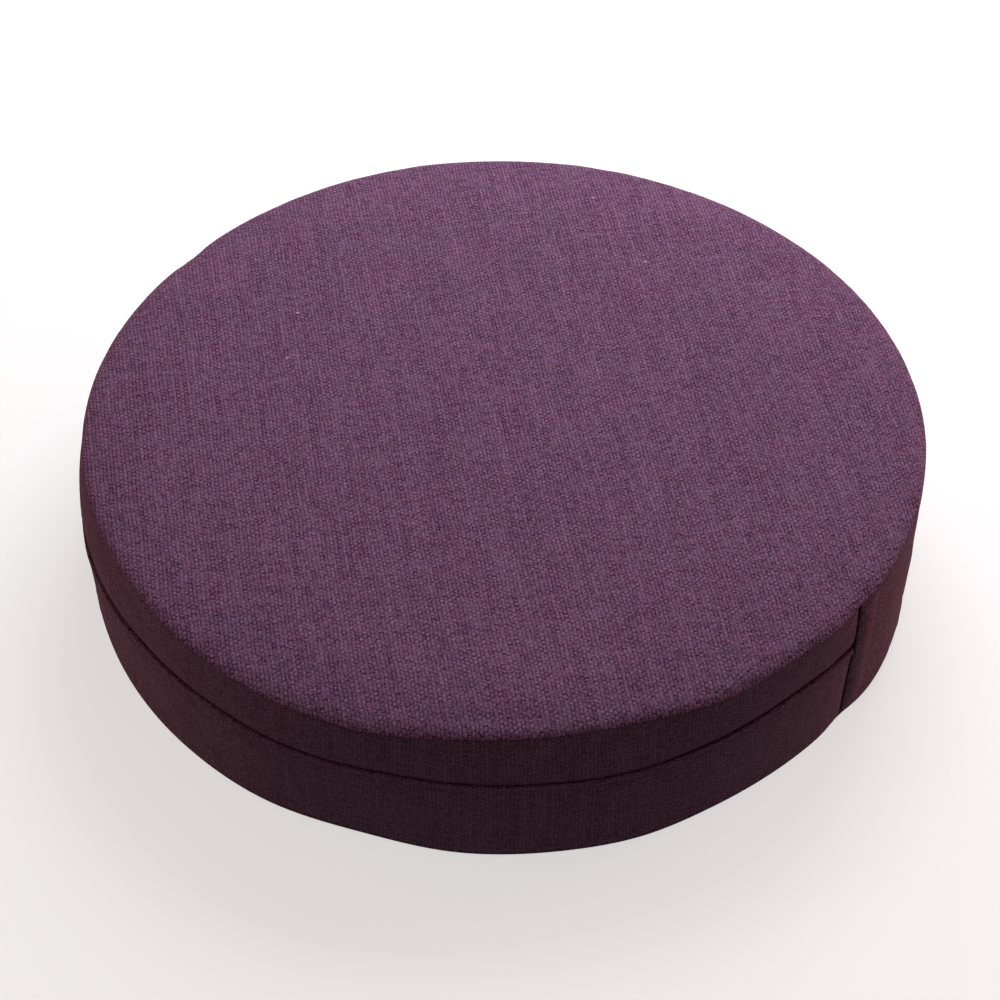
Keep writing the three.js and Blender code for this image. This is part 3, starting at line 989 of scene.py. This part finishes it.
@dataclass(frozen=True)
class LinenLookCloth:
    """Woven upholstery cloth of slubby polyester yarn, plain weave, dyed purple.

    The eye sees a fine grid of light thread tops and dark gaps. That light and dark is painted shade of the
    weave's relief, put into the colour. The yarns differ a little in hue and are thicker and lighter here
    and there. It hardly shines, and has a faint soft sheen in the dye's own colour at grazing angles.
    """

    name: str
    lay: Lay
    along_pitch: float
    across_pitch: float
    turn: float = 0.0
    round_radius: float = 200 * MM
    rose_yarn: str = "#856180"
    slate_yarn: str = "#7b6580"
    warm_tone: tuple[float, ...] = (1.0, 1.01, 0.95, 1.0)
    cool_tone: tuple[float, ...] = (1.0, 0.99, 1.05, 1.0)
    tone_length: float = 6 * MM
    # Painted shade: the dark colour of the gaps between threads, where the weave's relief shades the cloth.
    painted_gap_shade: str = "#370f33"
    slub_length: float = 45 * MM
    fibre_length: float = 0.85 * MM
    wander: float = 0.3
    wander_length: float = 22 * MM
    roundness: float = 0.85
    # Shares of painted shade in the lightness: lighter round thread tops, and a lighter or darker checker of
    # crossings.
    thread_shade_share: float = 0.43
    crossing_shade_share: float = 0.2
    spot_share: float = 0.38
    slub_share: float = 0.5
    fibre_share: float = 1.9
    lint_share: float = 1.2
    lint_rarity: float = 0.99994
    relief: float = 0.3 * MM
    bump: float = 0.35
    roughness: float = 0.92
    specular: float = 0.1
    sheen: float = 0.15
    sheen_roughness: float = 0.5
    sheen_tint: str = "#c46a86"
    warp_seed: float = 1.7
    weft_seed: float = 5.3
    yarn_spread: float = 90.0
    hue_shift: tuple[float, ...] = (7.0, 13.0, 5.0)
    hue_scale: float = 1.6
    mean_roundness: float = 0.67
    weft_slubs: float = 0.6
    weft_hue: float = 0.4
    spot_hue: float = 0.25
    slate_below: float = 0.48
    rose_above: float = 0.77
    warm_below: float = 0.35
    cool_above: float = 0.65

    def place_on_cloth(self, tree: Tree) -> tuple[Socket, Socket]:
        """Finds each point's place on the cloth.

        Round the side the distance along the along-threads is height less radius, so that the weave runs on
        over a folded edge.

        Args:
            tree: the node tree.

        Returns:
            The distance across the along-threads, and the distance along them.
        """
        place = add_node(tree, "ShaderNodeTexCoord", {}, output=3)
        if self.lay is Lay.FLAT:
            turned = add_node(tree, "ShaderNodeVectorRotate",
                              {"Vector": place, "Angle": math.radians(self.turn)}, rotation_type="Z_AXIS")
            parts = add_node(tree, "ShaderNodeSeparateXYZ", {0: turned}).node
            return parts.outputs[0], parts.outputs[1]
        parts = add_node(tree, "ShaderNodeSeparateXYZ", {0: place}).node
        front = add_node(tree, "ShaderNodeMath", {0: parts.outputs[1], 1: -1.0}, operation="MULTIPLY")
        azimuth = add_node(tree, "ShaderNodeMath", {0: parts.outputs[0], 1: front}, operation="ARCTAN2")
        arc = add_node(tree, "ShaderNodeMath", {0: azimuth, 1: self.round_radius}, operation="MULTIPLY")
        level = add_node(tree, "ShaderNodeVectorMath", {0: place, 1: (1.0, 1.0, 0.0)},
                         operation="MULTIPLY")
        radius = add_node(tree, "ShaderNodeVectorMath", {0: level}, output=1, operation="LENGTH")
        return arc, add_node(tree, "ShaderNodeMath", {0: parts.outputs[2], 1: radius}, operation="SUBTRACT")

    def threads(self, tree: Tree, place: Socket, along: Socket, pitch: float, seed: float) -> Threads:
        """Lays one set of threads.

        Args:
            tree: the node tree.
            place: distance across this set.
            along: distance along this set.
            pitch: spacing of its threads.
            seed: makes this set's chance differ from the other's.

        Returns:
            The threads' number, wave, sign and roundness, and each thread's own lightness and hue.
        """
        spot = add_node(tree, "ShaderNodeCombineXYZ", {0: place, 1: along, 2: seed})
        drift = add_node(tree, "ShaderNodeTexNoise",
                         {"Vector": spot, "Scale": 1 / self.wander_length, "Detail": 2.0})
        wander = add_node(tree, "ShaderNodeMath", {0: drift, 1: 4 * self.wander, 2: -2 * self.wander},
                          operation="MULTIPLY_ADD")
        counted = add_node(tree, "ShaderNodeMath", {0: place, 1: 1 / pitch, 2: wander},
                           operation="MULTIPLY_ADD")
        number = add_node(tree, "ShaderNodeMath", {0: counted}, operation="FLOOR")
        angle = add_node(tree, "ShaderNodeMath", {0: counted, 1: math.pi}, operation="MULTIPLY")
        wave = add_node(tree, "ShaderNodeMath", {0: angle}, operation="SINE")
        sign = add_node(tree, "ShaderNodeMath", {0: wave}, operation="SIGN")
        size = add_node(tree, "ShaderNodeMath", {0: wave}, operation="ABSOLUTE")
        roundness = add_node(tree, "ShaderNodeMath", {0: size, 1: self.roundness}, operation="POWER")
        own = add_node(tree, "ShaderNodeTexWhiteNoise", {"W": number}, noise_dimensions="1D")
        start = add_node(tree, "ShaderNodeMath", {0: own, 1: self.yarn_spread, 2: seed},
                         operation="MULTIPLY_ADD")
        run = add_node(tree, "ShaderNodeMath", {0: along, 1: 1 / self.slub_length}, operation="MULTIPLY")
        thread = add_node(tree, "ShaderNodeCombineXYZ", {0: start, 1: run, 2: seed})
        light = add_node(tree, "ShaderNodeTexNoise", {"Vector": thread, "Scale": 1.0, "Detail": 4.0})
        other = add_node(tree, "ShaderNodeVectorMath", {0: thread, 1: self.hue_shift}, operation="ADD")
        hue = add_node(tree, "ShaderNodeTexNoise", {"Vector": other, "Scale": self.hue_scale, "Detail": 3.0})
        return {
            "number": number, "wave": wave, "sign": sign, "roundness": roundness, "light": light, "hue": hue
        }

    def weave_height(self, tree: Tree, warp: Threads, weft: Threads) -> Socket:
        """Sends warp and weft over and under each other.

        Args:
            tree: the node tree.
            warp: the warp threads.
            weft: the weft threads.

        Returns:
            The height of the cloth, from 0 to 1.
        """
        heights = []
        for one, other, side in ((warp, weft, 0.5), (weft, warp, -0.5)):
            lifted = add_node(tree, "ShaderNodeMath", {0: one["sign"], 1: other["wave"]},
                              operation="MULTIPLY")
            over = add_node(tree, "ShaderNodeMath", {0: lifted, 1: side, 2: 0.5}, operation="MULTIPLY_ADD")
            top = add_node(tree, "ShaderNodeMath", {0: one["roundness"], 1: over}, operation="MULTIPLY")
            heights.append(top)
        return add_node(tree, "ShaderNodeMath", {0: heights[0], 1: heights[1]}, operation="MAXIMUM")

    def tone_and_weave_shade(
        self, tree: Tree, warp: Threads, weft: Threads, chance: bpy.types.Node, fibres: Socket
    ) -> Socket:
        """Adds up how light each spot is: painted shade on thread tops and crossings, chance spots, slubs,
        fibres and lint.

        Args:
            tree: the node tree.
            warp: the warp threads.
            weft: the weft threads.
            chance: three chance values of each crossing.
            fibres: the fine unevenness of the yarn.

        Returns:
            The lightness, 0 in the painted shade of the gaps, about 0.5 in the mean and past 1 on lint.
        """
        # Painted shade of the weave's relief: the checker of crossings, and round thread tops lighter than
        # their edges.
        crossing = add_node(tree, "ShaderNodeMath", {0: warp["wave"], 1: weft["wave"]}, operation="MULTIPLY")
        lint = add_node(tree, "ShaderNodeMath", {0: chance.outputs[2], 1: self.lint_rarity},
                        operation="GREATER_THAN")
        base = 0.5 - self.mean_roundness * self.thread_shade_share
        total = add_node(tree, "ShaderNodeMath", {0: warp["roundness"], 1: self.thread_shade_share, 2: base},
                         operation="MULTIPLY_ADD")
        # Each part with its share in the lightness and its own mean, which is taken off it
        parts = (
            (crossing, self.crossing_shade_share, 0.0),
            (chance.outputs[0], self.spot_share, 0.5),
            (warp["light"], self.slub_share, 0.5),
            (weft["light"], self.weft_slubs * self.slub_share, 0.5),
            (fibres, self.fibre_share, 0.5),
            (lint, self.lint_share, 0.0),
        )
        for part, share, mean in parts:
            level = add_node(tree, "ShaderNodeMath", {0: part, 1: share, 2: -share * mean},
                             operation="MULTIPLY_ADD")
            total = add_node(tree, "ShaderNodeMath", {0: total, 1: level}, operation="ADD")
        return add_node(tree, "ShaderNodeMath", {0: total, 1: 0.0}, operation="MAXIMUM")

    def material(self) -> bpy.types.Material:
        """Builds the cloth's material.

        Returns:
            The material.
        """
        made = bpy.data.materials.new(self.name)
        made.use_nodes = True
        tree = made.node_tree
        tree.nodes.clear()
        across, along = self.place_on_cloth(tree)
        warp = self.threads(tree, across, along, self.along_pitch, self.warp_seed)
        weft = self.threads(tree, along, across, self.across_pitch, self.weft_seed)
        height = self.weave_height(tree, warp, weft)
        numbers = add_node(tree, "ShaderNodeCombineXYZ", {0: warp["number"], 1: weft["number"]})
        values = add_node(tree, "ShaderNodeTexWhiteNoise", {"Vector": numbers},
                          output=1, noise_dimensions="3D")
        chance = add_node(tree, "ShaderNodeSeparateXYZ", {0: values}).node
        spot = add_node(tree, "ShaderNodeCombineXYZ", {0: across, 1: along})
        fibres = add_node(tree, "ShaderNodeTexNoise",
                          {"Vector": spot, "Scale": 1 / self.fibre_length, "Detail": 1.0})
        lightness = self.tone_and_weave_shade(tree, warp, weft, chance, fibres)
        hue = add_node(tree, "ShaderNodeMix", {0: self.weft_hue, 2: warp["hue"], 3: weft["hue"]})
        spotted_hue = add_node(tree, "ShaderNodeMath", {0: chance.outputs[1], 1: self.spot_hue, 2: hue},
                               operation="MULTIPLY_ADD")
        hue_share = add_node(tree, "ShaderNodeMapRange",
                             {"Value": spotted_hue, "From Min": self.slate_below,
                              "From Max": self.rose_above})
        dyed = add_node(tree, "ShaderNodeMix",
                        {0: hue_share, 6: linear(self.slate_yarn), 7: linear(self.rose_yarn)},
                        output=2, data_type="RGBA")
        cloud = add_node(tree, "ShaderNodeTexNoise",
                         {"Vector": spot, "Scale": 1 / self.tone_length, "Detail": 2.0})
        tone_share = add_node(tree, "ShaderNodeMapRange",
                              {"Value": cloud, "From Min": self.warm_below, "From Max": self.cool_above})
        tone = add_node(tree, "ShaderNodeMix", {0: tone_share, 6: self.warm_tone, 7: self.cool_tone},
                        output=2, data_type="RGBA")
        toned = add_node(tree, "ShaderNodeMix", {0: 1.0, 6: dyed, 7: tone},
                         output=2, data_type="RGBA", blend_type="MULTIPLY")
        # The colour runs from the painted shade of the gaps to the dyed and toned yarn on the thread tops.
        colour = add_node(tree, "ShaderNodeMix", {0: lightness, 6: linear(self.painted_gap_shade), 7: toned},
                          output=2, data_type="RGBA", clamp_factor=False)
        normal = add_node(tree, "ShaderNodeBump",
                          {"Strength": self.bump, "Distance": self.relief, "Height": height})
        cloth = add_node(tree, "ShaderNodeBsdfPrincipled",
                         {"Base Color": colour, "Normal": normal, "Roughness": self.roughness,
                          "Specular IOR Level": self.specular, "Sheen Weight": self.sheen,
                          "Sheen Roughness": self.sheen_roughness, "Sheen Tint": linear(self.sheen_tint)})
        add_node(tree, "ShaderNodeOutputMaterial", {"Surface": cloth})
        return made


@dataclass(frozen=True)
class PaperFloor:
    """A matt paper floor, pale and very slightly mottled.

    It glows a little by itself, so that the shadows on it stay pale.
    """

    name: str = "matt_paper_floor"
    colour: str = "#b2b2b2"
    shade: str = "#aeaeae"
    roughness: float = 0.95
    specular: float = 0.1
    glow: float = 0.62
    mottle: float = 60 * MM

    def material(self) -> bpy.types.Material:
        """Builds the floor's material.

        Returns:
            The material.
        """
        made = bpy.data.materials.new(self.name)
        made.use_nodes = True
        tree = made.node_tree
        tree.nodes.clear()
        place = add_node(tree, "ShaderNodeTexCoord", {}, output=3)
        cloud = add_node(tree, "ShaderNodeTexNoise",
                         {"Vector": place, "Scale": 1 / self.mottle, "Detail": 3.0})
        colour = add_node(tree, "ShaderNodeMix", {0: cloud, 6: linear(self.shade), 7: linear(self.colour)},
                          output=2, data_type="RGBA")
        paper = add_node(tree, "ShaderNodeBsdfPrincipled",
                         {"Base Color": colour, "Roughness": self.roughness,
                          "Specular IOR Level": self.specular,
                          "Emission Color": (1.0, 1.0, 1.0, 1.0), "Emission Strength": self.glow})
        add_node(tree, "ShaderNodeOutputMaterial", {"Surface": paper})
        return made


@dataclass(frozen=True)
class SoftLight:
    """One soft square light, aimed at the cushion from an azimuth and an elevation."""

    name: str
    azimuth: float
    elevation: float
    distance: float
    size: float
    power: float
    colour: str

    def hang(self, target: Vector) -> None:
        """Makes the light and turns it towards the target.

        Args:
            target: the point that it shines at.
        """
        lamp = bpy.data.lights.new(self.name, "AREA")
        lamp.shape = "SQUARE"
        lamp.size = self.size
        lamp.energy = self.power
        lamp.color = linear(self.colour)[:3]
        made = bpy.data.objects.new(self.name, lamp)
        turn, lift = math.radians(self.azimuth), math.radians(self.elevation)
        away = Vector((math.sin(turn) * math.cos(lift), -math.cos(turn) * math.cos(lift), math.sin(lift)))
        made.location = target + away * self.distance
        made.rotation_euler = (-away).to_track_quat("-Z", "Y").to_euler()
        bpy.context.scene.collection.objects.link(made)


@dataclass
class Studio:
    """The pale floor, the soft lights and the camera."""

    form: CushionForm
    floor_size: float = 30.0
    camera_height: float = 884.8 * MM
    camera_back: float = 946.1 * MM
    lens: float = 97.91
    sensor: float = 36.0
    pan: float = 0.07
    tilt: float = -1.67
    roll: float = -0.22
    room_colour: str = "#ffdbce"
    room_below: float = 0.03
    room_above: float = 0.245
    dim_below: float = -0.4
    bright_above: float = 0.6
    wall_colour: str = "#eeebe9"
    lights: tuple[SoftLight, ...] = (
        SoftLight("key_from_behind", 165.0, 44.0, 0.88, 0.7, 9.3, "#f3f7ff"),
        SoftLight("fill_from_left", -106.0, 14.0, 2.0, 1.2, 8.8, "#ffbcaa"),
        SoftLight("fill_from_right", 120.0, 14.0, 2.0, 1.0, 16.0, "#ffbaac"),
    )

    def lay_floor(self) -> None:
        """Lays the floor, which throws no light back on the cushion, so that the side stays deep."""
        half = self.floor_size / 2
        corners = np.array([(-half, -half, 0), (half, -half, 0), (half, half, 0), (-half, half, 0)])
        floor = mesh_piece("floor", corners, [(0, 1, 2, 3)])
        floor.data.materials.append(PaperFloor().material())
        floor.visible_diffuse = False

    def light_room(self) -> None:
        """Fills the room with weak warm light from above. The camera sees a pale wall in its place."""
        world = bpy.data.worlds.new("pale_room")
        world.use_nodes = True
        tree = world.node_tree
        tree.nodes.clear()
        path = add_node(tree, "ShaderNodeLightPath", {})
        place = add_node(tree, "ShaderNodeTexCoord", {})
        upwards = add_node(tree, "ShaderNodeSeparateXYZ", {0: place}, output=2)
        strength = add_node(tree, "ShaderNodeMapRange",
                            {"Value": upwards, "From Min": self.dim_below, "From Max": self.bright_above,
                             "To Min": self.room_below, "To Max": self.room_above},
                            interpolation_type="SMOOTHSTEP")
        weak = add_node(tree, "ShaderNodeBackground",
                        {"Color": linear(self.room_colour), "Strength": strength})
        wall = add_node(tree, "ShaderNodeBackground", {"Color": linear(self.wall_colour), "Strength": 1.0})
        mixed = add_node(tree, "ShaderNodeMixShader", {0: path, 1: weak, 2: wall})
        add_node(tree, "ShaderNodeOutputWorld", {"Surface": mixed})
        bpy.context.scene.world = world

    def set_camera(self) -> None:
        """Stands the camera where the photograph was taken, turned as it was."""
        target = Vector((self.form.offset.x, self.form.offset.y, self.form.seam_height))
        place = target + Vector((0, -self.camera_back, self.camera_height))
        forward = (target - place).normalized()
        right = Vector((1, 0, 0))
        up = right.cross(forward)
        for degrees, axis in ((self.pan, up), (self.tilt, right), (self.roll, forward)):
            turn = Matrix.Rotation(math.radians(degrees), 3, axis)
            right, up, forward = turn @ right, turn @ up, turn @ forward
        data = bpy.data.cameras.new("photo_view")
        data.lens = self.lens
        data.sensor_width = self.sensor
        camera = bpy.data.objects.new("photo_view", data)
        pose = Matrix((right, up, -forward)).transposed().to_4x4()
        pose.translation = place
        camera.matrix_world = pose
        bpy.context.scene.collection.objects.link(camera)
        bpy.context.scene.camera = camera

    def build(self) -> None:
        """Sets everything up, and shows colours as they are."""
        self.lay_floor()
        self.light_room()
        for light in self.lights:
            light.hang(Vector((0, 0, self.form.seam_height)))
        self.set_camera()
        bpy.context.scene.view_settings.view_transform = "Standard"


# The cover's one cloth, laid flat on the discs and round the side. On the side its threads stand out less, as
# the painted shade of its weave is weaker.
TOP_CLOTH = LinenLookCloth("linen_look_cloth_top_woven", Lay.FLAT, 1.81 * MM, 1.23 * MM, turn=-10.0)
SIDE_CLOTH = LinenLookCloth("linen_look_cloth_boxing_woven", Lay.ROUND, 1.79 * MM, 1.17 * MM,
                            thread_shade_share=0.3, crossing_shade_share=0.16)
BASE_CLOTH = LinenLookCloth("linen_look_cloth_base_woven", Lay.FLAT, 1.81 * MM, 1.23 * MM, turn=4.0)


def main() -> None:
    """Builds the cushion piece by piece, then the studio."""
    logging.basicConfig(level=logging.INFO, format="%(name)s: %(message)s")
    form = CushionForm()
    side_finish = SIDE_CLOTH.material()
    base_finish = BASE_CLOTH.material()
    filling = Filling(form).build()
    plumpness = Plumpness(form)
    plumpness.simulate(filling)
    plumpness.move(filling)
    dress(filling, base_finish, "filled_body")
    top = TopPanel(form)
    top_piece = top.build()
    plumpness.move(top_piece)
    dress(top_piece, TOP_CLOTH.material(), "top_panel")
    top.declare(top_piece)
    base = BasePanel(form)
    base_piece = base.build()
    dress(base_piece, base_finish, "base_panel")
    base.declare(base_piece)
    boxing = Boxing(form)
    for strip in Strip:
        piece = boxing.build(strip)
        plumpness.move(piece)
        dress(piece, side_finish, strip.value[1])
        boxing.declare(strip, piece)
    Studio(form).build()


if __name__ == "__main__":
    main()
